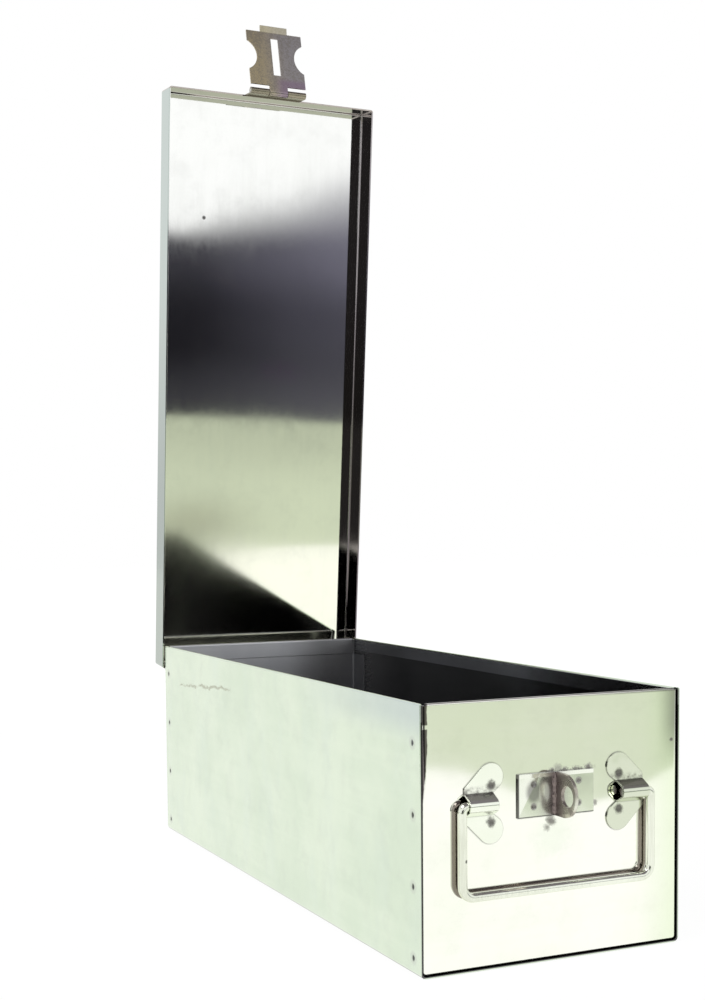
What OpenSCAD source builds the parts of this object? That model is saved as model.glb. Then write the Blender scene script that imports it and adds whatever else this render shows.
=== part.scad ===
// Safe deposit box: a long narrow box folded from bright tinned sheet, with a
// full-length hinged lid, a slotted hasp over a padlock eye, and a wire carrying
// handle. Millimetres. The origin is the middle of the underside, +Z is up and
// the front, with the handle, faces -Y. The lid is drawn standing open, as stored.

/* [Body] */
// Outside width of the body
body_w = 127; // [110:1:180]
// Outside height of the body
body_h = 112; // [95:1:200]
// Outside length of the body, front to back
body_l = 336; // [180:1:600]
// Thickness of the body and lid sheet
sheet = 0.8; // [0.6:0.1:1.2]
// Outside radius of the long bottom bends
body_bend = 2.6; // [1.6:0.2:5]
// Outside radius of the bends on the end panels
panel_bend = 2; // [1.4:0.1:3]
// Depth of the hem folded inward along the rim
rim_hem = 9.5; // [6:0.5:14]
// Depth of the flanges folded back from the end panels
panel_flange = 16; // [12:0.5:24]
// Spot welds in each row up a corner
weld_count = 4; // [2:1:8]
// Distance of a row of spot welds from the corner
weld_inset = 6.5; // [5:0.5:9]
// Radius of a spot weld's dimple
weld_r = 1.2; // [0.8:0.1:1.6]

/* [Lid] */
// Depth of the lid's side and front flanges
lid_depth = 15.6; // [12:0.2:22]
// Outside radius of the lid's bends
lid_bend = 1.6; // [1.4:0.1:3]
// Gap between the lid's flanges and the body
lid_gap = 0.3; // [0.2:0.1:1]
// Gap under the closed lid's plate
lid_rest = 1.2; // [0.4:0.1:2]
// Angle of the open lid from closed
lid_open = 84.5; // [0:0.5:120]

/* [Lid hinge] */
// Depth of the hinge line below the rim
hinge_drop = 14; // [10:0.5:20]
// Radius of the hinge wire
hinge_pin_r = 1.3; // [1:0.05:1.8]
// Thickness of the hinge leaves
hinge_leaf_t = 0.8; // [0.5:0.1:1.1]
// Depth of each hinge leaf from the hinge line
hinge_leaf_w = 12; // [8:0.5:13]
// Distance of the hinge's ends from the body's sides
hinge_inset = 1; // [0.5:0.5:6]
// Number of knuckles on both leaves together
hinge_knuckles = 13; // [5:2:21]

/* [Hasp] */
// Width of the hasp and its leaf
hasp_w = 34.4; // [28:0.2:40]
// Length of the hasp plate from its hinge line to its bend
hasp_l = 36.7; // [35:0.1:44]
// Gap between the hasp plate and the knuckles of its leaf
hasp_gap = 1.6; // [0.4:0.1:3]
// Thickness of the hasp and its leaf
hasp_t = 0.8; // [0.6:0.1:1.2]
// Radius of the hasp's pin
hasp_pin_r = 1; // [0.7:0.05:1.3]
// Width of the slot
slot_w = 4.6; // [4.2:0.1:6]
// Length of the slot
slot_l = 23.1; // [22:0.1:24]
// Distance of the slot from the hinge line
slot_start = 10.1; // [9:0.1:11]
// Radius of the round bites in the hasp's sides
bite_r = 9.9; // [8.6:0.1:12]
// Width left between the bites
waist_w = 23.4; // [18:0.2:27]
// Width of the finger tab
tab_w = 16.8; // [12:0.2:22]
// Length of the finger tab
tab_l = 3.6; // [3:0.2:5]
// Angle that the finger tab is bent toward the panel
tab_angle = 10; // [5:1:12]
// Inside radius of the finger tab's bend
tab_bend = 0.8; // [0.4:0.1:2]
// Angle of the raised hasp from hanging
hasp_open = 108; // [0:1:150]

/* [Staple] */
// Height of the staple's centre above the underside
staple_z = 71; // [60:1:75]
// Width of the staple plate
staple_w = 37; // [30:1:44]
// Height of the staple plate and of the eye
staple_h = 18.3; // [16:0.1:20]
// Thickness of the staple plate
staple_t = 1; // [0.8:0.1:1.2]
// Distance of the staple plate's welds from its middle, to the side
staple_weld_x = 11; // [9:0.5:12.5]
// Distance of the staple plate's welds from its middle, up and down
staple_weld_z = 4.7; // [4:0.1:5.5]
// Thickness of the eye
eye_t = 1.5; // [1.2:0.1:2]
// Reach of the eye from the front panel
eye_reach = 16.6; // [15:0.1:17]
// Radius of the padlock hole in the eye
eye_hole_r = 4.5; // [3.5:0.1:5]
// Metal left outside the padlock hole
eye_rim = 1.7; // [1.4:0.1:2.4]

/* [Handle] */
// Width between the centres of the handle's legs
handle_w = 92; // [86:0.2:98]
// Drop from the pivot to the middle of the grip
handle_drop = 37.4; // [34:0.2:48]
// Height of the handle's pivot above the underside
handle_z = 69.4; // [62:0.2:74]
// Radius of the handle's wire
wire_r = 2; // [1.5:0.1:2.2]
// Bend radius of the grip's corners, on the wire's centre line
grip_bend = 5; // [4:0.5:9]
// Bend radius at the pivots, on the wire's centre line
pivot_bend = 2.4; // [2.4:0.1:4]
// Length of wire inside each bracket
pivot_l = 12; // [8:0.5:12.5]
// Length of each bracket's strap along the wire
strap_l = 13.2; // [12.8:0.1:14]
// How far each foot of the strap stands out past its loop, up or down
foot_flare = 1.6; // [1.2:0.1:2.4]
// Thickness of the handle's brackets
bracket_t = 0.8; // [0.6:0.1:1]
// Radius of each petal's round end
petal_r = 5.8; // [5:0.1:6.5]
// Radius of the corners at the petals' roots
root_r = 0.8; // [0.4:0.1:1.2]
// Height of the petals' round ends above and below the pivot
petal_rise = 10.9; // [9.5:0.1:12]
// Distance of the petals' round ends inward from the handle's leg
petal_lean = 14.7; // [13:0.1:16]
// Height of the outer corner at each petal's root above or below the pivot
shoulder_rise = 6.6; // [5:0.1:8]
// Distance of each petal's weld from its round end's centre, toward the pivot
petal_weld = 3.2; // [2.5:0.1:3.6]

/* [Hidden] */
$fn = 64;

bright = [0.80, 0.82, 0.78];
tin = [0.72, 0.75, 0.71];
steel = [0.55, 0.53, 0.49];
wire = [0.62, 0.64, 0.60];

// Clearance of a pin in its knuckles, of seated sheet, and of parts that pass each other
running = 0.05;
seat = 0.1;
pass = 0.3;
// Overlap that makes neighbouring shapes one solid, and reach of a cut past its face
join = 0.2;
past = 1;

front_y = -body_l/2;
back_y = body_l/2;
inside_w = body_w - 2*sheet - 2*seat;
inside_z = sheet + seat;
flange_top = body_h - rim_hem - pass;

knuckle_r = hinge_pin_r + running + hinge_leaf_t;
hinge_y = back_y + knuckle_r;
hinge_z = body_h - hinge_drop;
hinge_l = body_w - 2*hinge_inset;
knuckle_pitch = hinge_l/hinge_knuckles;
knuckle_clear = knuckle_r + pass;

// The lid is drawn closed about its hinge line, then turned open
lid_top = hinge_drop + lid_rest + sheet;
lid_low = lid_top - lid_depth;
lid_half = body_w/2 + lid_gap + sheet;
// the front flange swings clear of the rim's corner
lid_front = -(norm([knuckle_r + body_l, hinge_drop]) + lid_gap + sheet);
leaf_seat = 0.4;
lid_back = leaf_seat + hinge_leaf_t + sheet - knuckle_r;

hasp_knuckle_r = hasp_pin_r + running + hasp_t;
hasp_y = lid_front - hasp_knuckle_r;
hasp_z = staple_z + slot_start + slot_l/2 - hinge_z;
hasp_knuckle_w = (hasp_w - 2*pass)/3;

eye_r = staple_h/2;
eye_centre = eye_reach - eye_r;
eye_hole_y = eye_reach - eye_rim - eye_hole_r;
tenon_h = 12;

pivot_y = bracket_t + pass + wire_r + seat;
loop_r = wire_r + pass;
leg_x = handle_w/2;
loop_out = leg_x - pivot_bend;
loop_in = loop_out - strap_l;
foot_rise = loop_r + bracket_t + foot_flare;
window_rise = foot_rise - bracket_t;

// Four corners of the band that touches two circles on both sides
function band(c1, r1, c2, r2) =
    let (d = c2 - c1, a = atan2(d[1], d[0]), b = acos((r1 - r2)/norm(d)))
    [c1 + r1*[cos(a + b), sin(a + b)], c2 + r2*[cos(a + b), sin(a + b)],
     c2 + r2*[cos(a - b), sin(a - b)], c1 + r1*[cos(a - b), sin(a - b)]];

// Two circles and the band between them
module capsule(c1, r1, c2, r2) {
    translate(c1) circle(r1);
    translate(c2) circle(r2);
    polygon(band(c1, r1, c2, r2));
}

// Area of a trough: flat along x, with its two lower corners rounded
module trough(width, depth, r) {
    translate([-width/2, r]) square([width, depth - r]);
    translate([r - width/2, 0]) square([width - 2*r, depth]);
    for (side = [-1, 1]) translate([side*(width/2 - r), r]) circle(r);
}

// Section of sheet bent to a U
module channel(width, depth, r) {
    difference() {
        trough(width, depth, r);
        translate([0, sheet]) trough(width - 2*sheet, depth + past, r - sheet);
    }
}

// Profile drawn in x and z, run along y about the middle
module along_y(length) {
    rotate([90, 0, 0]) linear_extrude(length, center = true) children();
}

// Profile drawn in y and z, run along x about the middle
module along_x(length) {
    rotate([90, 0, 90]) linear_extrude(length, center = true) children();
}

// Hem folded to the +x side of a wall's top edge, its fold's centre at the origin
module hem(depth) {
    intersection() {
        circle(sheet);
        translate([-sheet, 0]) square([2*sheet, sheet]);
    }
    translate([0, sheet - depth]) square([sheet, depth - sheet]);
    translate([-sheet, -join]) square([sheet + join, join]);
}

// Cut for the shallow dimple of a spot weld, on a face at z = 0
module weld_dimple() {
    dimple_depth = 0.25;
    ball_r = (weld_r*weld_r + dimple_depth*dimple_depth)/(2*dimple_depth);
    translate([0, 0, ball_r - dimple_depth]) sphere(ball_r);
}

// Sides and bottom: one sheet bent up on both long edges, its rim hemmed inward
module body_wrapper() {
    hem_l = body_l - 2*(panel_bend + pass);
    weld_low = inside_z + weld_inset;
    weld_step = (flange_top - weld_inset - weld_low)/(weld_count - 1);
    color(bright) difference() {
        union() {
            along_y(body_l) channel(body_w, body_h - sheet, body_bend);
            for (side = [0, 1]) mirror([side, 0, 0]) {
                translate([sheet - body_w/2, 0, body_h - sheet]) {
                    along_y(hem_l) hem(rim_hem);
                    along_y(body_l) intersection() {
                        circle(sheet);
                        translate([-sheet, 0]) square(sheet);
                    }
                }
            }
        }
        for (side = [-1, 1], end = [-1, 1], i = [0 : weld_count - 1])
            translate([side*body_w/2, end*(body_l/2 - weld_inset), weld_low + i*weld_step])
                rotate([0, side*90, 0]) weld_dimple();
    }
}

// Quarter bend in sheet, from a wall that rises at x = 0 to a floor along y = 0
module bend(r) {
    intersection() {
        translate([r, r]) difference() {
            circle(r);
            circle(r - sheet);
        }
        square(r);
    }
}

// Pressed end panel with its outer face at y = 0: hemmed top, flanges back along
// both sides and the bottom, and rounded corners between them
module end_panel() {
    side_x = inside_w/2 - panel_bend;
    low_z = inside_z + panel_bend;
    hem_top = body_h - sheet;
    flange_l = panel_flange - panel_bend;
    translate([-side_x, 0, low_z]) cube([2*side_x, sheet, hem_top - low_z]);
    translate([0, sheet, hem_top]) along_x(2*side_x) hem(rim_hem);
    translate([0, 0, inside_z]) along_x(2*side_x) {
        bend(panel_bend);
        translate([panel_bend, 0]) square([flange_l, sheet]);
    }
    for (side = [0, 1]) mirror([side, 0, 0]) translate([-inside_w/2, 0, low_z]) {
        linear_extrude(hem_top - low_z) bend(panel_bend);
        translate([0, panel_bend, 0]) cube([sheet, flange_l, flange_top - low_z]);
        translate([panel_bend, panel_bend, 0]) rotate(180) rotate_extrude(angle = 90)
            intersection() {
                difference() {
                    circle(panel_bend);
                    circle(panel_bend - sheet);
                }
                translate([0, -panel_bend]) square(panel_bend);
            }
    }
}

module front_panel() {
    color(bright) translate([0, front_y, 0]) end_panel();
}

module back_panel() {
    color(tin) translate([0, back_y, 0]) rotate(180) end_panel();
}

// Place shapes drawn about the closed lid's hinge line on the open lid
module on_lid() {
    translate([0, hinge_y, hinge_z]) rotate([-lid_open, 0, 0]) children();
}

// Section of the lid's edge, outward from its bend's centre: quarter bend and flange
module edge_section() {
    intersection() {
        difference() {
            circle(lid_bend);
            circle(lid_bend - sheet);
        }
        square(lid_bend);
    }
    translate([lid_bend - sheet, lid_low - lid_top + lid_bend])
        square([sheet, lid_top - lid_bend - lid_low]);
}

// Shallow lid pan with rounded edges and corners, its back flange cut away over the hinge
module lid() {
    side_x = lid_half - lid_bend;
    ends = [lid_front + lid_bend, lid_back - lid_bend];
    pan_l = ends[1] - ends[0];
    color(bright) on_lid() difference() {
        union() {
            translate([-side_x, ends[0], lid_top - sheet]) cube([2*side_x, pan_l, sheet]);
            translate([0, 0, lid_top - lid_bend]) {
                for (side = [0, 1]) mirror([side, 0, 0])
                    translate([side_x, (ends[0] + ends[1])/2, 0]) along_y(pan_l) edge_section();
                translate([0, ends[0], 0]) along_x(2*side_x) mirror([1, 0]) edge_section();
                translate([0, ends[1], 0]) along_x(2*side_x) edge_section();
                for (side = [0, 1], end = [0, 1]) mirror([side, 0, 0])
                    translate([side_x, ends[end], 0]) rotate(90*(end - 1))
                        rotate_extrude(angle = 90) edge_section();
            }
        }
        translate([-hinge_l/2 - pass, lid_back - sheet - past, lid_low - past])
            cube([hinge_l + 2*pass, sheet + 2*past, knuckle_clear - lid_low + past]);
    }
}

// Section of a rolled knuckle about a pin: the leaf leaves on the -y side, upwards,
// to the given reach above the pin's centre
module knuckle_section(r, pin_r, t, offset, reach) {
    difference() {
        union() {
            circle(r);
            translate([offset - r, 0]) square([t, reach]);
        }
        circle(pin_r + running);
    }
}

// One hinge leaf about its hinge line, reaching up. Its knuckles are every second
// one, starting from the given place, and its plate stands off by the offset
module hinge_leaf(first, offset) {
    translate([-hinge_l/2, offset - knuckle_r, knuckle_clear])
        cube([hinge_l, hinge_leaf_t, hinge_leaf_w - knuckle_clear]);
    for (i = [first : 2 : hinge_knuckles - 1])
        translate([(i + 0.5)*knuckle_pitch - hinge_l/2, 0, 0])
            along_x(knuckle_pitch - pass)
                knuckle_section(knuckle_r, hinge_pin_r, hinge_leaf_t, offset, knuckle_clear + join);
}

// Leaf on the back panel, hanging from the hinge line, with both end knuckles
module hinge_body_leaf() {
    color(tin) translate([0, hinge_y, hinge_z]) mirror([0, 0, 1]) hinge_leaf(0, 0);
}

// Leaf inside the lid's back flange
module hinge_lid_leaf() {
    color(tin) on_lid() hinge_leaf(1, leaf_seat);
}

// Wire through all the knuckles of the lid hinge
module hinge_pin() {
    color(steel) translate([-hinge_l/2, hinge_y, hinge_z])
        rotate([0, 90, 0]) cylinder(h = hinge_l, r = hinge_pin_r);
}

// Place shapes drawn about the hasp's hinge line, as when the lid is closed
module at_hasp() {
    on_lid() translate([0, hasp_y, hasp_z]) children();
}

// Hasp's fixed leaf on the lid's front flange, with the two outer knuckles
module hasp_leaf() {
    leaf_low = hasp_knuckle_r + pass;
    leaf_top = lid_top - lid_bend - hasp_z;
    color(steel) at_hasp() {
        translate([-hasp_w/2, hasp_knuckle_r - hasp_t, leaf_low])
            cube([hasp_w, hasp_t, leaf_top - leaf_low]);
        for (side = [-1, 1]) translate([side*(hasp_w - hasp_knuckle_w)/2, 0, 0])
            along_x(hasp_knuckle_w) mirror([1, 0])
                knuckle_section(hasp_knuckle_r, hasp_pin_r, hasp_t, 0, leaf_low + join);
    }
}

// Outline of the hasp plate, from its hinge line down: bitten sides and a long slot
module hasp_outline(top) {
    slot_middle = slot_start + slot_l/2;
    difference() {
        translate([-hasp_w/2, -hasp_l]) square([hasp_w, hasp_l - top]);
        for (side = [-1, 1]) translate([side*(waist_w/2 + bite_r), -slot_middle]) circle(bite_r);
        translate([-slot_w/2, -slot_start - slot_l]) square([slot_w, slot_l]);
    }
}

// Section of the finger tab, bent to the +x side, below a plate whose end is at the origin
module tab_section() {
    outer = tab_bend + hasp_t;
    translate([tab_bend, 0]) mirror([1, 0]) {
        intersection() {
            difference() {
                circle(outer);
                circle(tab_bend);
            }
            polygon([[0, 0], [2*outer, 0], [2*outer, -2*outer*tan(tab_angle)]]);
        }
        rotate(-tab_angle) translate([tab_bend, -tab_l]) square([hasp_t, tab_l]);
    }
}

// Swinging hasp: plate with a centre knuckle, and a short finger tab at its end
module hasp_plate() {
    top = hasp_knuckle_r + hasp_gap;
    color(steel) at_hasp() rotate([-hasp_open, 0, 0]) {
        translate([0, hasp_knuckle_r, 0]) rotate([90, 0, 0]) linear_extrude(hasp_t) hasp_outline(top);
        along_x(hasp_knuckle_w) mirror([1, 0]) mirror([0, 1])
            knuckle_section(hasp_knuckle_r, hasp_pin_r, hasp_t, 0, top + join);
        translate([0, hasp_knuckle_r, -hasp_l]) along_x(tab_w) tab_section();
    }
}

// Pin through the hasp's three knuckles
module hasp_pin() {
    color(steel) at_hasp() translate([-hasp_w/2, 0, 0])
        rotate([0, 90, 0]) cylinder(h = hasp_w, r = hasp_pin_r);
}

// Place shapes drawn in front of the staple's middle, reaching along -y from the panel
module at_staple() {
    translate([0, front_y, staple_z]) children();
}

// Plate welded to the front panel, slit for the eye's tenon
module staple_plate() {
    color(bright) at_staple() difference() {
        translate([-staple_w/2, -staple_t, -staple_h/2]) cube([staple_w, staple_t, staple_h]);
        translate([-eye_t/2 - running, -staple_t - past, -tenon_h/2 - running])
            cube([eye_t + 2*running, staple_t + 2*past, tenon_h + 2*running]);
        for (side = [-1, 1], up = [-1, 1])
            translate([side*staple_weld_x, -staple_t, up*staple_weld_z])
                rotate([90, 0, 0]) weld_dimple();
    }
}

// Padlock eye standing out from the staple plate, round at its end
module staple_eye() {
    color(steel) at_staple() along_x(eye_t) difference() {
        union() {
            translate([-eye_centre, 0]) circle(eye_r);
            translate([-eye_centre, -eye_r]) square([eye_centre - staple_t, 2*eye_r]);
            translate([-eye_centre, -tenon_h/2]) square([eye_centre, tenon_h]);
        }
        translate([-eye_hole_y, 0]) circle(eye_hole_r);
        translate([-staple_t, -eye_r - past]) square([2*eye_r, eye_r + past - tenon_h/2]);
        translate([-staple_t, tenon_h/2]) square([2*eye_r, eye_r + past - tenon_h/2]);
        translate([0, -eye_r]) square(2*eye_r);
    }
}

// Outline of the right-hand bracket's upper petal, about the pivot: a round end, and a
// root as wide as the strap with an outer and an inner corner
module petal_outline() {
    end = [leg_x - petal_lean, petal_rise];
    outer = [loop_out - root_r, shoulder_rise];
    inner = [loop_in + root_r, foot_rise];
    for (corner = [outer, inner]) capsule(end, petal_r, corner, root_r);
    polygon([end, outer + [root_r, 0], [loop_out, 0], [loop_in, 0], inner - [root_r, 0]]);
}

// Section of the bracket's strap: one thickness of sheet, from its two feet on the panel
// up sloping sides and round the pivot
module strap_section() {
    pivot = [-pivot_y, 0];
    foot = [-bracket_t, window_rise];
    fold_r = 0.1;
    difference() {
        for (up = [0, 1]) mirror([0, up]) capsule(pivot, loop_r + bracket_t, foot, bracket_t);
        for (up = [0, 1]) mirror([0, up]) capsule(pivot, loop_r, foot, fold_r);
        polygon([pivot, foot, [past, window_rise], [past, -window_rise],
                 [-bracket_t, -window_rise]]);
    }
}

// Right-hand handle bracket: two petals, and a strap raised between them over the pivot
module bracket() {
    translate([0, front_y, handle_z]) {
        difference() {
            rotate([90, 0, 0]) linear_extrude(bracket_t)
                for (up = [0, 1]) mirror([0, up]) petal_outline();
            // the strap is pushed out of this window
            translate([loop_in - past, -bracket_t - past, -window_rise])
                cube([strap_l + 2*past, bracket_t + 2*past, 2*window_rise]);
            for (up = [-1, 1])
                translate([leg_x - petal_lean, -bracket_t, up*(petal_rise - petal_weld)])
                    rotate([90, 0, 0]) weld_dimple();
        }
        translate([(loop_in + loop_out)/2, 0, 0]) along_x(strap_l) strap_section();
    }
}

module bracket_left() {
    color(tin) mirror([1, 0, 0]) bracket();
}

module bracket_right() {
    color(tin) bracket();
}

// Half of the handle's wire about its pivot line: end, turn, leg, turn and half the grip
module half_bail() {
    leg_l = handle_drop - pivot_bend - grip_bend;
    grip_half = leg_x - grip_bend;
    translate([loop_out - pivot_l, 0, 0]) rotate([0, 90, 0]) cylinder(h = pivot_l, r = wire_r);
    translate([loop_out, 0, -pivot_bend]) rotate([90, 0, 0])
        rotate_extrude(angle = 90) translate([pivot_bend, 0]) circle(wire_r);
    translate([leg_x, 0, -pivot_bend - leg_l]) cylinder(h = leg_l, r = wire_r);
    translate([leg_x - grip_bend, 0, grip_bend - handle_drop]) rotate([90, 90, 0])
        rotate_extrude(angle = 90) translate([grip_bend, 0]) circle(wire_r);
    translate([0, 0, -handle_drop]) rotate([0, 90, 0]) cylinder(h = grip_half, r = wire_r);
}

// Wire carrying handle, hanging against the front
module bail_handle() {
    color(wire) translate([0, front_y - pivot_y, handle_z]) {
        half_bail();
        mirror([1, 0, 0]) half_bail();
    }
}

body_wrapper();
front_panel();
back_panel();
lid();
hinge_body_leaf();
hinge_lid_leaf();
hinge_pin();
hasp_leaf();
hasp_plate();
hasp_pin();
staple_plate();
staple_eye();
bracket_left();
bracket_right();
bail_handle();
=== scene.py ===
"""Safe deposit box of bright tinned sheet, with its lid standing open.

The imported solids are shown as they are. This script gives each of them its finish, adds the
brazing that holds the padlock eye, and sets the box on white paper under soft light.
Lengths are metres in the box's own frame: +Z up, the front with the handle towards -Y.
"""
import math

import bmesh
import bpy
import numpy as np
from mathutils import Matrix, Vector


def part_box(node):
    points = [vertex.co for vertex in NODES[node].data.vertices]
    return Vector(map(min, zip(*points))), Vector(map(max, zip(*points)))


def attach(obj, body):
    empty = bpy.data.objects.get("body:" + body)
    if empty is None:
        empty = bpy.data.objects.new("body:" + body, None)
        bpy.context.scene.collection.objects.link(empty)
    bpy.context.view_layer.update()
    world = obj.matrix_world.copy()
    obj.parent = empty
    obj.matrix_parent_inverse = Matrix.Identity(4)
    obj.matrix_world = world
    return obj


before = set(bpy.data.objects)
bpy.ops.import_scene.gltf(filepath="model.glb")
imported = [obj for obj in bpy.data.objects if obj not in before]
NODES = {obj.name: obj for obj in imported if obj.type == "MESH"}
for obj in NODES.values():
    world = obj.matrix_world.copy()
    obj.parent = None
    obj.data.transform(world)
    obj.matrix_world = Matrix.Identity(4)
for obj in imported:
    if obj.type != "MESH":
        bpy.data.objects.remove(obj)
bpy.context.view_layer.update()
MM = 0.001

BODY_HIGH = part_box("body_wrapper")[1]
FRONT_Y = float(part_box("front_panel")[0][1])
BACK_Y = float(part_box("back_panel")[1][1])
RIM_Z = float(BODY_HIGH[2])
SIDE_X = float(BODY_HIGH[0])
PLATE_LOW, PLATE_HIGH = (np.array(corner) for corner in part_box("staple_plate"))
EYE_LOW, EYE_HIGH = (np.array(corner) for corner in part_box("staple_eye"))
STAPLE_Z = float(PLATE_LOW[2] + PLATE_HIGH[2])/2
HANDLE_HIGH = np.array(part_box("bail_handle")[1])
LID_HIGH = np.array(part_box("lid")[1])
HASP_HIGH = np.array(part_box("hasp_plate")[1])


def reach_along(node, way):
    """How far a node's mesh reaches in a direction."""
    vertices = NODES[node].data.vertices
    points = np.empty(3*len(vertices), dtype=np.float32)
    vertices.foreach_get("co", points)
    return float((points.reshape(-1, 3) @ np.array(way)).max())


# The lid's own upward direction: it leans a little forward of upright
LID_FORWARD = math.radians(5.35)
LID_WAY = (0.0, -math.sin(LID_FORWARD), math.cos(LID_FORWARD))
LID_END = reach_along("lid", LID_WAY)

GRAIN_STRETCH = 0.03
# Colour of the painted shade in corners, seams and under neighbouring pieces
SEAM_SHADE_BLACK = (0.04, 0.035, 0.04)
# Black of the painted shade on the staple plate's edges, and of the real nick in the wire
RIM_SHADE_AND_NICK_BLACK = (0.05, 0.045, 0.045)


# Camera

def aim_camera():
    """Put the camera where the photograph was taken from, with its lens."""
    sensor = 36.0
    focal_px = 1470.8
    long_side_px = 1000.0
    data = bpy.data.cameras.new("camera")
    data.sensor_width = sensor
    data.lens = focal_px/long_side_px*sensor
    data.shift_y = 0.125
    data.clip_start = 0.01
    camera = bpy.data.objects.new("camera", data)
    camera.location = (-0.3303, -0.6867, 0.1822)
    camera.rotation_euler = [math.radians(a) for a in (86.237, 0.498, -24.662)]
    bpy.context.scene.collection.objects.link(camera)
    bpy.context.scene.camera = camera


# Shader maths

class Value:
    """One output socket of a node tree. Arithmetic on values adds the Math nodes."""

    def __init__(self, tree, socket):
        self.tree = tree
        self.socket = socket

    def _math(self, operation, *operands):
        return self.tree.node("ShaderNodeMath", {"operation": operation},
                              dict(enumerate(operands)))["Value"]

    def __add__(self, other):
        return self._math("ADD", self, other)

    __radd__ = __add__

    def __mul__(self, other):
        return self._math("MULTIPLY", self, other)

    __rmul__ = __mul__

    def __sub__(self, other):
        return self._math("SUBTRACT", self, other)

    def __rsub__(self, other):
        return self._math("SUBTRACT", other, self)

    def __truediv__(self, other):
        return self._math("DIVIDE", self, other)

    def __abs__(self):
        return self._math("ABSOLUTE", self)

    def __pow__(self, other):
        return self._math("POWER", self, other)

    def exp(self):
        return self._math("EXPONENT", self)

    def wrap(self, start, end):
        return self._math("WRAP", self, end, start)

    def sqrt(self):
        return self._math("SQRT", self)

    def low(self, other):
        return self._math("MINIMUM", self, other)

    def high(self, other):
        return self._math("MAXIMUM", self, other)


class Outputs:
    """A node's outputs by name, each as a Value."""

    def __init__(self, tree, node):
        self.tree = tree
        self.made = node

    def __getitem__(self, name):
        return Value(self.tree, self.made.outputs[name])


class Tree:
    """A shader node tree and the short words that the finishes are written in."""

    def __init__(self, owner):
        owner.use_nodes = True
        self.tree = owner.node_tree
        self.tree.nodes.clear()

    def node(self, kind, settings=None, sockets=None):
        """Add a node: its settings first, then the values or links of its sockets."""
        made = self.tree.nodes.new(kind)
        for name, setting in (settings or {}).items():
            setattr(made, name, setting)
        for name, given in (sockets or {}).items():
            socket = made.inputs[name]
            if isinstance(given, Value):
                self.tree.links.new(given.socket, socket)
            else:
                socket.default_value = given
        return Outputs(self, made)

    def split(self, vector):
        parts = self.node("ShaderNodeSeparateXYZ", None, {"Vector": vector})
        return parts["X"], parts["Y"], parts["Z"]

    def place(self):
        """The three coordinates of a point in the box's frame."""
        return self.split(self.node("ShaderNodeTexCoord")["Object"])

    def vector(self, x, y, z):
        return self.node("ShaderNodeCombineXYZ", None, {"X": x, "Y": y, "Z": z})["Vector"]

    def step(self, value, start, end):
        """0 before start and 1 after end, smooth between them; start may be the larger."""
        return self.node("ShaderNodeMapRange", {"interpolation_type": "SMOOTHSTEP"},
                         {"Value": value, "From Min": start, "From Max": end})["Result"]

    def noise(self, vector, size, detail=2.0, roughness=0.5):
        """Cloudy pattern from 0 to 1 whose clouds are about that many metres across."""
        return self.node("ShaderNodeTexNoise", {"noise_dimensions": "3D"},
                         {"Vector": vector, "Scale": 1/size, "Detail": detail,
                          "Roughness": roughness})["Fac"]

    def mix(self, share, low, high):
        """Colour between two colours by a share."""
        made = self.tree.nodes.new("ShaderNodeMix")
        made.data_type = "RGBA"
        for name, given in (("Factor_Float", share), ("A_Color", low), ("B_Color", high)):
            socket = next(s for s in made.inputs if s.identifier == name)
            if isinstance(given, Value):
                self.tree.links.new(given.socket, socket)
            elif name == "Factor_Float":
                socket.default_value = given
            else:
                socket.default_value = (*given, 1.0)
        result = next(s for s in made.outputs if s.identifier == "Result_Color")
        return Value(self, result)

    def rounded(self, radius):
        """Normal as if every edge were rounded off by a radius."""
        return self.node("ShaderNodeBevel", {"samples": 4}, {"Radius": radius})["Normal"]

    def crevice(self, reach):
        """1 deep in a corner or against a neighbouring piece, 0 beyond the reach."""
        seen = self.node("ShaderNodeAmbientOcclusion", {"samples": 4}, {"Distance": reach})["AO"]
        return 1 - seen

    def bump(self, height, normal=None):
        """Normal of a surface raised by a height in metres."""
        sockets = {"Height": height, "Distance": 1.0, "Strength": 1.0}
        if normal is not None:
            sockets["Normal"] = normal
        return self.node("ShaderNodeBump", None, sockets)["Normal"]

    def spot(self, across, up, radius, soft):
        """1 inside a round mark about the origin of two coordinates, fading over soft."""
        return self.step((across*across + up*up).sqrt(), radius + soft, radius)

    def hill(self, across, up, wide, tall):
        """Bell shape about the origin of two coordinates, 1 at its top."""
        return (((across*(1/wide))**2.0 + (up*(1/tall))**2.0)*-0.5).exp()

    def metal(self, colour, roughness, normal):
        """Finish the material as bare metal."""
        shader = self.node("ShaderNodeBsdfPrincipled", None,
                           {"Base Color": colour, "Roughness": roughness, "Metallic": 1.0,
                            "Normal": normal})["BSDF"]
        self.node("ShaderNodeOutputMaterial", None, {"Surface": shader})


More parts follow.
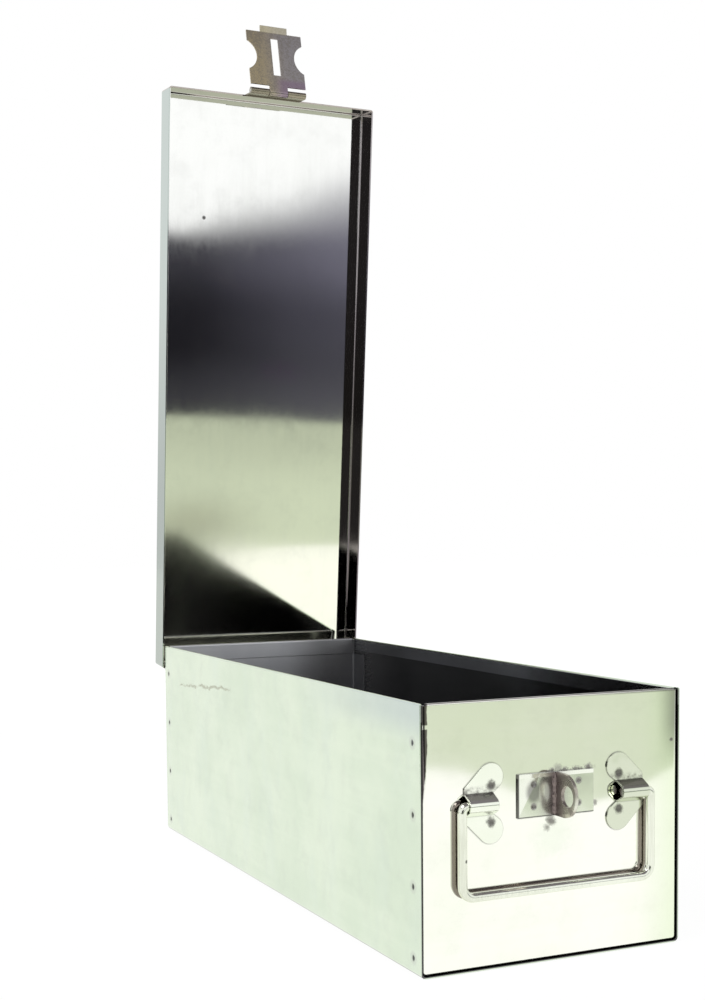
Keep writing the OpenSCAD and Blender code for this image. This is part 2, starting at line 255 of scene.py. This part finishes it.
class Sheet(Tree):
    """A metal finish with rolling grain along one axis, faint clouds and rounded edges."""

    def __init__(self, name, along, grain_size=0.5*MM):
        self.material = bpy.data.materials.new(name)
        super().__init__(self.material)
        self.x, self.y, self.z = self.place()
        parts = {"x": self.x, "y": self.y, "z": self.z}
        parts[along] = parts[along]*GRAIN_STRETCH
        drawn = self.vector(parts["x"], parts["y"], parts["z"])
        self.here = self.vector(self.x, self.y, self.z)
        self.grain = self.noise(drawn, grain_size, 2, 0.6) - 0.5
        self.streaks = self.noise(drawn, 5*MM, 3, 0.6) - 0.5
        self.clouds = self.noise(self.here, 45*MM, 3, 0.55) - 0.5
        self.speckle = self.noise(self.here, 1.1*MM, 2, 0.6) - 0.5

    def edges(self, height, radius=0.25*MM):
        """Normal of the sheet raised by a height, with its edges rounded off."""
        return self.bump(height, self.rounded(radius))

    def dents(self, size, depth):
        """Height of smooth dents that are about a size across and a depth deep."""
        return self.noise(self.here, size, 1, 0.4)*depth

    def wander(self, size, reach, roughness=0.7):
        """A distance that drifts to both sides of nought, for ragged outlines."""
        return (self.noise(self.here, size, 3, roughness) - 0.5)*reach

    def broken(self, size, start, end):
        """1 in scattered patches and 0 between them."""
        return self.step(self.noise(self.here, size, 3, 0.7), start, end)

    def scuffs(self, size):
        """1 in soft patches, for scuffs."""
        return self.step(self.noise(self.here, size, 5, 0.65), 0.45, 0.70)

    def near(self, x, z, radius, soft, ragged):
        """A mark about a point of the front, all in millimetres, with a ragged edge."""
        across, up = self.x - x*MM, self.z - z*MM
        away = (across*across + up*up).sqrt() + self.wander(2.5*MM, ragged*MM)
        return self.step(away, (radius + soft)*MM, radius*MM)

    def tones(self, low, high):
        """Two colours in soft clouds."""
        return self.mix(self.step(self.clouds + self.streaks*0.3, -0.2, 0.2), low, high)

    def paint_seam_shade(self, colour, share=0.9, reach=0.8*MM):
        """Paint shade into the colour in the corners and under the neighbouring pieces."""
        return self.mix(self.crevice(reach)*share, colour, SEAM_SHADE_BLACK)


# Finishes

def below_rim(s):
    """1 under the folded rim's top and 0 on the top itself."""
    return s.step(s.z, RIM_Z - 0.3*MM, RIM_Z - 0.9*MM)


def weld_offsets(s):
    """How far a point of the wrapper is from its nearest spot weld, along and up."""
    weld_y, lowest_z, pitch = 161.5*MM, 7.4*MM, 29.43*MM
    return abs(s.y) - weld_y, (s.z - lowest_z).wrap(-pitch/2, pitch/2)


def side_rub(s):
    """Brown broken line rubbed into the sides, towards the back."""
    middle_y, middle_z, slope = 97*MM, 94*MM, 0.06
    line_z = middle_z - (s.y - middle_y)*slope + (s.noise(s.here, 9*MM) - 0.5)*(5*MM)
    line = s.step(abs(s.z - line_z), 1.3*MM, 0.2*MM)
    return line*s.step(abs(s.y - middle_y), 47*MM, 40*MM)*s.broken(6*MM, 0.35, 0.55)


def wrapper_finish():
    """Pale green-grey sides with smudges and dark weld marks; painted shade on the inside, lighter on
    the hem, and in the seams.
    """
    s = Sheet("wrapper_sheet", "y")
    outer, inner = SIDE_X - 0.3*MM, SIDE_X - 0.5*MM
    outside = s.step(abs(s.x), inner, outer)
    colour = s.tones((0.68, 0.78, 0.64), (0.75, 0.84, 0.70))
    smudge_blue, scuff_grey = (0.66, 0.76, 0.70), (0.42, 0.46, 0.42)
    smudge = s.step(s.noise(s.vector(s.x, s.y, s.z*0.35), 22*MM, 3, 0.6), 0.45, 0.75)
    colour = s.mix(smudge*0.25, colour, smudge_blue)

    halo_grey, weld_black = (0.42, 0.40, 0.42), (0.03, 0.025, 0.03)
    along, up = weld_offsets(s)
    welds = s.spot(along, up*0.8, 0.55*MM, 0.9*MM)*outside
    colour = s.mix(s.spot(along, up, 2.0*MM, 1.6*MM)*outside*0.25, colour, halo_grey)
    colour = s.mix(welds*0.9, colour, weld_black)

    rub_brown, rim_blue = (0.33, 0.27, 0.19), (0.50, 0.56, 0.62)
    rub = side_rub(s)*outside
    colour = s.mix(rub*0.45, colour, rub_brown)
    front_top = s.step(s.z, RIM_Z - 20*MM, RIM_Z - 4*MM)*s.step(s.y, -20*MM, FRONT_Y)
    colour = s.mix(front_top*outside*0.55, colour, rim_blue)

    # Painted shade on the inside, darkest deep towards the front
    inside_shade_back, inside_shade_deep, hem_painted_light = (0.32, 0.31, 0.33), (0.05, 0.04, 0.055), (0.80, 0.81, 0.85)
    inside = s.step(abs(s.x), outer, inner)*s.step(s.z, 0.3*MM, 0.5*MM)*below_rim(s)
    deep = s.step(s.y, 155*MM, 90*MM)
    colour = s.mix(inside*0.9, colour, s.mix(deep, inside_shade_back, inside_shade_deep))
    colour = s.paint_seam_shade(colour, 0.6, 0.5*MM)
    # The hem is painted lighter than the shade around it
    hem = inside*s.step(s.z, RIM_Z - 7.6*MM, RIM_Z - 7.2*MM)
    colour = s.mix(hem*0.35, colour, hem_painted_light)
    colour = s.mix(s.scuffs(16*MM)*outside*0.10, colour, scuff_grey)

    rough = 0.15 + s.clouds*0.06 + s.grain*0.05 + welds*0.3 + rub*0.25 + inside*(1 - deep)*0.12
    wave = s.dents(80*MM, 0.25*MM) + s.streaks*(0.004*MM) + s.grain*(0.0006*MM)
    s.metal(colour, rough, s.edges(wave))
    return s.material


def front_bulge(s):
    """Height in metres of the front sheet's shallow bulge: a bell around the staple."""
    return s.hill(s.x - 18*MM, s.z - 48*MM, 36*MM, 24*MM)*(1.76*MM)


def welding_soot(s):
    """Soot along the staple plate's top, below the eye and at two smaller burns."""
    top = float(PLATE_HIGH[2])/MM
    line = s.step(abs(s.z - (top + 0.6)*MM), 1.6*MM, 0.3*MM)*s.step(abs(s.x - 8*MM), 13*MM, 9*MM)
    soot = line*s.broken(3*MM, 0.4, 0.6)*0.75
    # across, up, radius, fading over, ragged by (all in millimetres), share
    marks = ((1.5, top + 1.2, 0.4, 2.6, 4.0, 0.45),
             (16.6, top + 0.8, 0.4, 1.9, 3.0, 0.80),
             (-2.0, 59.6, 0.7, 2.6, 4.0, 0.75),
             (-4.0, 56.8, 0.4, 2.0, 3.0, 0.60),
             (19.8, 65.3, 0.5, 1.2, 2.0, 0.55),
             (59.2, 89.7, 0.4, 0.8, 1.0, 0.80))
    for x, z, radius, soft, ragged, share in marks:
        soot = soot.high(s.near(x, z, radius, soft, ragged)*share)
    return soot


def left_bend_dark_reflection(s):
    """Painted dark reflection down the front's left bend, wider at the top, with one bright break."""
    break_z = 102.5*MM
    width = s.step(s.z, 66*MM, 98*MM)*(2.0*MM) + 1.2*MM
    wander = s.wander(5*MM, 1.2*MM, 0.6)
    strip = s.step(s.x + SIDE_X + wander - width, 0.5*MM, 0.0)*s.step(s.z, 52*MM, 78*MM)
    return strip*s.step(abs(s.z - break_z + wander), 0.5*MM, 1.1*MM)


def front_finish():
    """Near mirror, scorched where the staple was welded, darker along the edges, with a painted dark
    reflection down the left bend and painted shade on the inside and in the seams.
    """
    s = Sheet("front_sheet", "x")
    right_green, scuff_grey, corner_grey = (0.84, 0.93, 0.72), (0.45, 0.46, 0.42), (0.30, 0.30, 0.29)
    colour = s.tones((0.96, 0.98, 0.89), (1.0, 1.0, 0.95))
    colour = s.mix(s.step(s.x, 40*MM, SIDE_X)*0.85, colour, right_green)
    colour = s.mix(s.scuffs(14*MM)*0.06, colour, scuff_grey)
    corner = s.step(s.x, 50*MM, 63*MM)*s.step(s.z, 74*MM, 100*MM)
    colour = s.mix(corner*0.8, colour, corner_grey)

    flux_green, soot_black = (0.72, 0.85, 0.66), (0.13, 0.11, 0.11)
    soot = welding_soot(s)
    colour = s.mix(s.near(-1.0, 53.0, 3.0, 9.0, 8.0)*0.25, colour, flux_green)
    colour = s.mix(soot, colour, soot_black)

    bend_reflection_brown, brim_grey, inside_shade_grey = (0.07, 0.05, 0.055), (0.25, 0.24, 0.23), (0.34, 0.30, 0.36)
    # Painted dark reflection down the left bend
    colour = s.mix(left_bend_dark_reflection(s)*0.9, colour, bend_reflection_brown)
    brim = s.step(s.z, RIM_Z - 1.6*MM, RIM_Z - 0.9*MM)*s.step(s.x, -10*MM, 60*MM)
    colour = s.mix(brim*0.6, colour, brim_grey)
    # Painted shade on the inside face
    inside = s.step(s.y, FRONT_Y + 0.4*MM, FRONT_Y + 0.7*MM)*below_rim(s)
    inside = inside*s.step(abs(s.x), SIDE_X - 2.2*MM, SIDE_X - 2.6*MM)
    colour = s.paint_seam_shade(s.mix(inside*0.8, colour, inside_shade_grey), 1.0, 0.8*MM)

    rough = 0.065 + s.clouds*0.02 + s.grain*0.02 + soot*0.35
    fine = s.noise(s.here, 30*MM, 2, 0.5)*(0.02*MM) + s.speckle*(0.0007*MM) + s.grain*(0.0003*MM)
    s.metal(colour, rough, s.edges(front_bulge(s) + fine))
    return s.material


def paint_flange_shade(s, colour):
    """Paint shade onto the lid's right, left and front flanges, the side ones darker low down, each
    found by its place.
    """
    half = float(LID_HIGH[0])
    lower = s.step(s.z, 0.40, 0.18)
    right = s.mix(lower, (0.46, 0.43, 0.44), (0.24, 0.21, 0.23))
    left = s.mix(lower, (0.52, 0.59, 0.56), (0.42, 0.47, 0.44))
    front_shade_brown = (0.44, 0.39, 0.35)
    colour = s.mix(s.step(s.x, half - 1.5*MM, half - 1.2*MM), colour, right)
    colour = s.mix(s.step(s.x, 0.7*MM - half, 0.3*MM - half), colour, left)
    along = s.y*LID_WAY[1] + s.z*LID_WAY[2]
    return s.mix(s.step(along, LID_END - 1.4*MM, LID_END - 1.1*MM)*0.9, colour, front_shade_brown)


def lid_finish():
    """Bright inside with a painted greener reflection low down, a painted dark reflection on the
    left, a few dark marks, fine upright grain, and painted shade on the flanges and in the seams.
    """
    s = Sheet("lid_sheet", "z")
    # Painted reflection: a greener band across the lower part of the bright sheet
    upper, middle, lowest = (0.99, 1.0, 0.98), (0.88, 0.90, 0.79), (0.99, 1.0, 0.87)
    colour = s.mix(s.step(s.z, 0.33, 0.25), upper, middle)
    colour = s.mix(s.step(s.z, 0.185, 0.155), colour, lowest)
    cloud_grey, dark_reflection_olive, scuff_grey = (0.70, 0.72, 0.68), (0.46, 0.44, 0.37), (0.45, 0.46, 0.44)
    colour = s.mix(s.step(s.clouds + s.streaks*0.5, -0.1, 0.3)*0.16, colour, cloud_grey)
    # Painted dark reflection on the left
    colour = s.mix(s.hill(s.x + 42*MM, s.z - 0.186, 26*MM, 12*MM)*0.6, colour, dark_reflection_olive)
    scuff = s.scuffs(16*MM)
    colour = s.mix(scuff*0.07, colour, scuff_grey)

    bloom_rose, spot_black = (1.0, 0.72, 0.92), (0.06, 0.05, 0.05)
    bloom = s.spot((s.x - 14*MM)*0.5, s.z - 0.280, 2*MM, 9*MM)*s.step(s.speckle, -0.1, 0.15)
    colour = s.mix(bloom*0.5, colour, bloom_rose)
    mark = s.spot(s.x + 37.5*MM, s.z - 0.3678, 0.5*MM, 0.9*MM)
    colour = s.mix(mark*0.85, colour, spot_black)
    # Painted shade on the flanges and in the seams
    colour = s.paint_seam_shade(paint_flange_shade(s, colour))

    rough = 0.05 + s.clouds*0.02 + s.streaks*0.02 + s.grain*0.03 + scuff*0.012 + mark*0.3
    rough = rough + s.step(s.z, 0.24, 0.16)*s.step(s.x, 30*MM, -40*MM)*0.06
    wave = s.dents(105*MM, 0.34*MM) + s.streaks*(0.0016*MM) + s.grain*(0.0005*MM)
    s.metal(colour, rough, s.edges(wave))
    return s.material


def back_finish():
    """Greyer sheet of the back panel, duller on the inside, darker to the right, with painted shade
    in the seams.
    """
    s = Sheet("back_sheet", "x")
    right_grey = (0.22, 0.22, 0.23)
    colour = s.paint_seam_shade(s.tones((0.70, 0.72, 0.76), (0.84, 0.86, 0.88)), 0.7)
    colour = s.mix(s.step(s.x, 8*MM, 44*MM)*0.75, colour, right_grey)
    inside = s.step(s.y, BACK_Y - 0.4*MM, BACK_Y - 0.6*MM)
    rough = 0.17 + s.clouds*0.06 + s.grain*0.04 + inside*0.22
    s.metal(colour, rough, s.edges(s.dents(70*MM, 0.2*MM) + s.grain*(0.0005*MM)))
    return s.material


def staple_plate_finish():
    """Bright plate, bent a little by its welds, with heat tint and a painted reflection of the eye
    around it, painted shade along its left and bottom edges and in the seams, and a painted glint.
    """
    s = Sheet("staple_plate_sheet", "x")
    z = s.z - STAPLE_Z
    half, tall = float(PLATE_HIGH[0]), float(PLATE_HIGH[2]) - STAPLE_Z
    weld_x, weld_z = 11*MM, 4.7*MM
    heat_and_reflection_violet, weld_black = (0.36, 0.31, 0.34), (0.10, 0.085, 0.08)
    # Heat tint around the eye together with a painted reflection of the eye
    heat_and_reflection = s.hill(s.x + 1.5*MM, z*0.7, 4.2*MM, 7*MM)
    colour = s.tones((0.86, 0.90, 0.80), (0.95, 0.97, 0.90))
    colour = s.mix(heat_and_reflection*0.75, colour, heat_and_reflection_violet)
    welds = s.spot(abs(s.x) - weld_x, abs(z) - weld_z, 0.7*MM, 1.3*MM)
    colour = s.paint_seam_shade(s.mix(welds*0.8, colour, weld_black), 0.8, 0.5*MM)

    burn_grey, glint_white = (0.24, 0.235, 0.23), (0.97, 0.98, 0.93)
    # Painted shade along the plate's left and bottom edges
    rim = s.step(s.x, 0.7*MM - half, 0.3*MM - half)
    rim = rim.high(s.step(z, 0.6*MM - tall, 0.25*MM - tall))
    colour = s.mix(rim*0.85, colour, RIM_SHADE_AND_NICK_BLACK)
    burn = s.spot((s.x + weld_x)*0.8, z*0.6 - 0.8*MM, 1.6*MM, 2.2*MM)
    colour = s.mix(burn*0.8, colour, burn_grey)
    # Painted glint
    glint = s.spot((s.x + 7.0*MM)*1.6, z*0.6 - 0.6*MM, 1.5*MM, 1.4*MM)
    colour = s.mix(glint*0.8, colour, glint_white)

    rough = 0.11 + heat_and_reflection*0.12 + s.grain*0.03 + welds*0.2
    crease = abs(s.x + 13*MM - z*0.6)*0.030
    top_strip = (z - 7.4*MM).high(0.0)*0.10
    height = front_bulge(s) + crease + top_strip + s.dents(9*MM, 0.12*MM)
    s.metal(colour, rough, s.edges(height, 0.3*MM))
    return s.material


def bracket_finish():
    """Bright pressed brackets, the right one greener, with dark welds, painted shade at the strap
    roots and in the seams.
    The left one's upper petal leans forward a little and both lower ones lean back."""
    s = Sheet("bracket_sheet", "x")
    wire_radius, petal_x, weld_z = 2*MM, 31.3*MM, 7.7*MM
    z = s.z - (float(HANDLE_HIGH[2]) - wire_radius)
    right_green, weld_black, root_shade_black = (0.66, 0.71, 0.57), (0.09, 0.08, 0.08), (0.12, 0.10, 0.11)
    colour = s.tones((0.88, 0.93, 0.81), (0.95, 0.98, 0.89))
    colour = s.mix(s.step(s.x, -1*MM, 1*MM)*0.85, colour, right_green)
    drift = s.wander(2.2*MM, 1.0)
    across, up = abs(s.x) - petal_x, abs(z) - weld_z
    weld = s.step((across*across + up*up).sqrt() + drift*(3*MM), 2.8*MM, 1.0*MM)
    colour = s.mix(weld*0.85, colour, weld_black)
    # Painted shade where the strap rises from the sheet
    root_shade = s.step(z, 8.5*MM, 5.6*MM)*s.step(z, 3.4*MM, 4.4*MM)*s.step(drift, -0.2, 0.25)
    colour = s.paint_seam_shade(s.mix(root_shade*0.75, colour, root_shade_black), 0.85, 0.7*MM)

    rough = 0.10 + s.grain*0.03 + weld*0.25 + root_shade*0.15
    petal_root = 5*MM
    flat = s.step(s.y, FRONT_Y - 1.3*MM, FRONT_Y - 0.9*MM)
    upper = (z - petal_root).high(0.0)*s.step(s.x, 1*MM, -1*MM)*0.020
    lower = (-petal_root - z).high(0.0)*0.008
    height = (upper - lower)*flat + s.dents(8*MM, 0.10*MM)
    s.metal(colour, rough, s.edges(height, 0.3*MM))
    return s.material


def eye_finish():
    """Steel tinted brown by brazing: darkest at the root, paler at the rim."""
    s = Sheet("eye_steel", "z")
    root_brown, outer_olive = (0.22, 0.18, 0.17), (0.66, 0.64, 0.54)
    blotch_brown, rim_grey = (0.30, 0.25, 0.24), (0.82, 0.84, 0.74)
    root_y = FRONT_Y - 1*MM
    out = (root_y - s.y)*(1/(root_y - float(EYE_LOW[1])))
    blotch = s.step(s.noise(s.here, 4*MM, 3, 0.65), 0.4, 0.62)
    colour = s.mix(s.step(out, 0.05, 0.75), root_brown, outer_olive)
    colour = s.mix(blotch*0.55, colour, blotch_brown)
    rim = s.step(out, 0.86, 0.97)*s.step(s.z, STAPLE_Z + 3*MM, STAPLE_Z - 3*MM)
    colour = s.mix(rim*0.8, colour, rim_grey)
    rough = 0.26 + blotch*0.12 + s.grain*0.06
    s.metal(colour, rough, s.edges((s.speckle + blotch)*(0.02*MM), 0.35*MM))
    return s.material


def hasp_finish():
    """Dull brushed steel, olive on the left and grey-violet on the right; a paler painted reflection
    on the tab, and painted shade in the seams.
    """
    s = Sheet("hasp_steel", "z", 0.35*MM)
    left_olive, right_grey, brush_grey = (0.47, 0.40, 0.26), (0.37, 0.35, 0.36), (0.26, 0.24, 0.21)
    knuckle_violet, tab_reflection_olive = (0.30, 0.20, 0.31), (0.50, 0.46, 0.30)
    top = float(HASP_HIGH[2])
    colour = s.mix(s.step(s.x + s.clouds*(30*MM), -16*MM, 12*MM), left_olive, right_grey)
    colour = s.mix(s.step(s.speckle + s.streaks*0.6, -0.1, 0.15)*0.6, colour, brush_grey)
    knuckle = s.step(s.z, top - 30*MM, top - 34*MM)*s.step(s.x, -4*MM, 4*MM)
    colour = s.mix(knuckle*0.6, colour, knuckle_violet)
    # Painted paler reflection on the tab
    colour = s.mix(s.step(s.z, top - 4.4*MM, top - 3.6*MM)*0.5, colour, tab_reflection_olive)
    colour = s.paint_seam_shade(colour, 0.8, 0.7*MM)
    rough = 0.30 + s.grain*0.16 + s.speckle*0.10 + s.clouds*0.08
    s.metal(colour, rough, s.edges(s.grain*(0.003*MM) + s.speckle*(0.006*MM), 0.2*MM))
    return s.material


def plain_steel(name, dull, bright, gloss):
    """Steel of the hinges and pins: two tones in clouds, with painted shade in the seams."""
    s = Sheet(name, "x")
    colour = s.paint_seam_shade(s.mix(s.step(s.clouds + s.speckle*0.5, -0.2, 0.2), dull, bright))
    rough = gloss + s.clouds*0.08 + s.grain*0.06
    s.metal(colour, rough, s.edges(s.grain*(0.001*MM) + s.speckle*(0.003*MM), 0.2*MM))
    return s.material


def wire_finish():
    """Bright drawn wire with painted shade on the half towards the front panel, and a nick in the
    left leg.
    """
    s = Sheet("handle_wire", "z", 0.4*MM)
    dull, bright, behind_shade_brown = (0.74, 0.77, 0.66), (0.90, 0.93, 0.83), (0.16, 0.12, 0.12)
    wire_radius, nick_x, nick_z = 2*MM, -45*MM, 47.5*MM
    colour = s.mix(s.step(s.clouds + s.grain*0.6, -0.2, 0.2), dull, bright)
    # Painted shade on the wire's half that faces the front panel
    middle = float(HANDLE_HIGH[1]) - wire_radius
    behind_shade = s.step(s.y, middle - 0.2*MM, middle + 1.1*MM)
    colour = s.mix(behind_shade*0.85, colour, behind_shade_brown)
    nick = s.spot(s.x - nick_x, s.z - nick_z, 0.35*MM, 0.7*MM)
    colour = s.mix(nick*0.85, colour, RIM_SHADE_AND_NICK_BLACK)
    rough = 0.13 + s.grain*0.05 + s.clouds*0.04 + nick*0.2
    s.metal(colour, rough, s.bump(s.dents(12*MM, 0.10*MM) + s.grain*(0.001*MM)))
    return s.material


def finish_nodes():
    """Put each finish on the nodes that have it."""
    front, bracket = front_finish(), bracket_finish()
    hinge = plain_steel("hinge_steel", (0.50, 0.50, 0.48), (0.66, 0.67, 0.64), 0.22)
    pin = plain_steel("pin_wire", (0.48, 0.47, 0.44), (0.60, 0.60, 0.57), 0.20)
    # The hasp leaf is painted darker than the hasp plate, as shade
    shaded_leaf = plain_steel("hasp_leaf_shaded_steel", (0.26, 0.24, 0.18), (0.40, 0.36, 0.27), 0.28)
    finishes = {
        "body_wrapper": wrapper_finish(), "front_panel": front, "lid": lid_finish(),
        "back_panel": back_finish(), "hinge_body_leaf": hinge, "hinge_lid_leaf": hinge,
        "hinge_pin": pin, "hasp_leaf": shaded_leaf, "hasp_plate": hasp_finish(), "hasp_pin": pin,
        "staple_plate": staple_plate_finish(), "staple_eye": eye_finish(),
        "bracket_left": bracket, "bracket_right": bracket, "bail_handle": wire_finish()}
    for name, finish in finishes.items():
        for slot in NODES[name].material_slots:
            slot.material = finish
    return finishes


# Brazing

def braze_points(side):
    """Points of one fillet, ring by ring up the eye's root. A ring is a quarter circle
    hollowed out of the corner between plate and eye, closed through two points sunk in the
    metal. Its radius swells by two sine waves and shrinks by a square root at both ends."""
    rings, arc_points, radius, sunk = 60, 10, 1.15*MM, 0.08*MM
    run = np.linspace(0.0, 1.0, rings)
    turn = np.linspace(0.0, math.pi/2, arc_points)
    lumps = 1 + 0.16*np.sin(run*19 + side) + 0.10*np.sin(run*47 + 2*side)
    radii = radius*lumps*np.clip(np.minimum(run, 1 - run)*14, 0.25, 1)**0.5
    away = radii[:, None]*(1 - np.sin(turn))
    out = radii[:, None]*(1 - np.cos(turn))
    column = np.full((rings, 1), -sunk)
    away = np.hstack([column, away[:, :1], away, column])
    out = np.hstack([column, column, out, out[:, -1:]])
    eye_half = float(EYE_HIGH[0] - EYE_LOW[0])/2
    x = side*(eye_half + away)
    y = float(PLATE_LOW[1]) - out
    up = STAPLE_Z + (run - 0.5)*(PLATE_HIGH[2] - PLATE_LOW[2] - 0.4*MM)
    z = np.broadcast_to(up[:, None], x.shape)
    return np.stack([x, y, z], axis=-1)


def tube_faces(rings, count):
    """Quads between rings of count points each, and a cap at both ends."""
    ring, corner = np.meshgrid(np.arange(rings - 1), np.arange(count), indexing="ij")
    after = (corner + 1) % count
    quads = np.stack([ring*count + corner, ring*count + after,
                      (ring + 1)*count + after, (ring + 1)*count + corner], axis=-1)
    caps = [list(range(count)), list(range((rings - 1)*count, rings*count))]
    return quads.reshape(-1, 4).tolist(), caps


def turn_outwards(mesh):
    """Make all faces of a closed mesh point outwards."""
    work = bmesh.new()
    work.from_mesh(mesh)
    bmesh.ops.recalc_face_normals(work, faces=work.faces)
    work.to_mesh(mesh)
    work.free()


def braze_eye(finish):
    """A lumpy fillet of braze on both sides of the eye's root."""
    for side, name in ((-1, "braze_left"), (1, "braze_right")):
        points = braze_points(side)
        quads, caps = tube_faces(*points.shape[:2])
        mesh = bpy.data.meshes.new(name)
        mesh.from_pydata(points.reshape(-1, 3).tolist(), [], quads + caps)
        turn_outwards(mesh)
        mesh.polygons.foreach_set("use_smooth", [True]*len(quads) + [False]*len(caps))
        mesh.materials.append(finish)
        piece = bpy.data.objects.new(name, mesh)
        bpy.context.scene.collection.objects.link(piece)
        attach(piece, "box")


# Studio

FLOOR_HALF = 6.0
PAPER_EDGE_Y = -0.65
TABLE_EDGE_Y = -2.0
CAMERA_WAY = (-0.41, -0.912)
WHITE = (1.0, 1.0, 1.0)
CAMERA_SHADE = (0.026, 0.024, 0.024)


def reflected_floor(tree, x, y, toward):
    """Colour of the floor as polished metal sees it: white paper, the duller table top
    past the paper's front edge, and a dark shade on the table where the camera stands."""
    near_table, far_table, paper_white = (0.665, 0.72, 0.58), (0.53, 0.57, 0.46), (1.0, 1.0, 0.97)
    edge_soft = 0.004
    table = tree.step(y, PAPER_EDGE_Y + edge_soft, PAPER_EDGE_Y - edge_soft)
    top = tree.mix(tree.step(y, -0.9, -1.7), near_table, far_table)
    top = tree.mix(tree.step(toward, 0.88, 0.97)*0.55, top, CAMERA_SHADE)
    tone = tree.mix(table, paper_white, top)
    return tree.mix(tree.step(toward, 0.940, 0.988)*table, tone, CAMERA_SHADE)


def lay_floor():
    """A pale floor that takes the box's shadow and fades to white away from it."""
    left, right, near, far = -FLOOR_HALF, FLOOR_HALF, TABLE_EDGE_Y, FLOOR_HALF
    corners = [(left, near, 0), (right, near, 0), (right, far, 0), (left, far, 0)]
    mesh = bpy.data.meshes.new("floor")
    mesh.from_pydata(corners, [], [(0, 1, 2, 3)])
    floor = bpy.data.objects.new("floor", mesh)
    floor.location = (0, 0, -0.3*MM)
    bpy.context.scene.collection.objects.link(floor)
    made = bpy.data.materials.new("paper")
    tree = Tree(made)
    x, y, _ = tree.place()
    light_path = tree.node("ShaderNodeLightPath")
    reach = (x*x + y*y).sqrt()
    toward = (x*CAMERA_WAY[0] + y*CAMERA_WAY[1])/reach
    mirrored = light_path["Is Glossy Ray"].high(light_path["Is Transmission Ray"])
    tone = tree.mix(mirrored, WHITE, reflected_floor(tree, x, y, toward))
    paper = tree.node("ShaderNodeBsdfDiffuse", None, {"Color": (0.95, 0.96, 0.94, 1)})["BSDF"]
    glow = tree.node("ShaderNodeEmission", None, {"Color": tone, "Strength": 1.06})["Emission"]
    seen = light_path["Is Camera Ray"]*tree.step(reach, 0.2, 0.8).high(0.89)
    shader = tree.node("ShaderNodeMixShader", None,
                       {0: seen.high(mirrored*0.95), 1: paper, 2: glow})["Shader"]
    tree.node("ShaderNodeOutputMaterial", None, {"Surface": shader})
    mesh.materials.append(made)


def room_strip(tree, x, z):
    """The dark strip of room behind the camera: how much of it there is in a direction,
    and its colour. Its top edge is sharp on the left and soft on the right."""
    left_x, horizon_z = 0.305, 0.006
    fade = ((x - left_x)*0.55 + 0.012).high(0.012).low(0.2)
    share = 1 - tree.step((z - horizon_z)/fade, 0.0, 1.0)
    right = tree.step(x, left_x, 0.43)
    glow = tree.step(z, -0.035, 0.004)*(right*0.06 + 0.022) + right*0.055 + 0.012
    glow = glow + tree.step(z, -0.06, -0.105)*0.03
    return share, tree.mix(glow, (0.0, 0.0, 0.0), (1.0, 0.96, 1.26))


def hang_world():
    """White backdrop to the camera. What lights the box is a room: white walls, a dark
    strip of room low down behind the camera, and a darker ceiling."""
    ceiling_grey, haze_grey = (0.20, 0.18, 0.20), (0.30, 0.31, 0.30)
    world = bpy.data.worlds.new("studio")
    bpy.context.scene.world = world
    tree = Tree(world)
    x, y, z = tree.split(tree.node("ShaderNodeTexCoord")["Generated"])
    light_path = tree.node("ShaderNodeLightPath")
    front = tree.step(y, -0.35, -0.60)
    strip, strip_colour = room_strip(tree, x, z)
    colour = tree.mix(tree.step(z, 0.56, 0.70), WHITE, ceiling_grey)
    colour = tree.mix(tree.step(z, 0.16, 0.02)*(1 - front)*0.16, colour, haze_grey)
    colour = tree.mix(strip*front, colour, strip_colour)
    toward = (x*CAMERA_WAY[0] + y*CAMERA_WAY[1])/(x*x + y*y + 0.001).sqrt()
    shade = tree.step(toward, 0.90, 0.985)*tree.step(z, 0.40, 0.24)
    colour = tree.mix(shade, colour, CAMERA_SHADE)
    colour = tree.mix(light_path["Is Camera Ray"], colour, WHITE)
    shader = tree.node("ShaderNodeBackground", None, {"Color": colour, "Strength": 1.0})["Background"]
    tree.node("ShaderNodeOutputWorld", None, {"Surface": shader})


def hang_lights():
    """One large soft light over the front left."""
    data = bpy.data.lights.new("softbox", "AREA")
    data.shape = "DISK"
    data.size = 0.8
    data.energy = 5.0
    light = bpy.data.objects.new("softbox", data)
    light.location = (-0.9, -0.5, 1.5)
    light.rotation_euler = (math.radians(25), math.radians(-28), 0)
    bpy.context.scene.collection.objects.link(light)


aim_camera()
lay_floor()
hang_world()
hang_lights()
finishes = finish_nodes()
braze_eye(finishes["staple_eye"])
bpy.context.scene.view_settings.view_transform = "Standard"
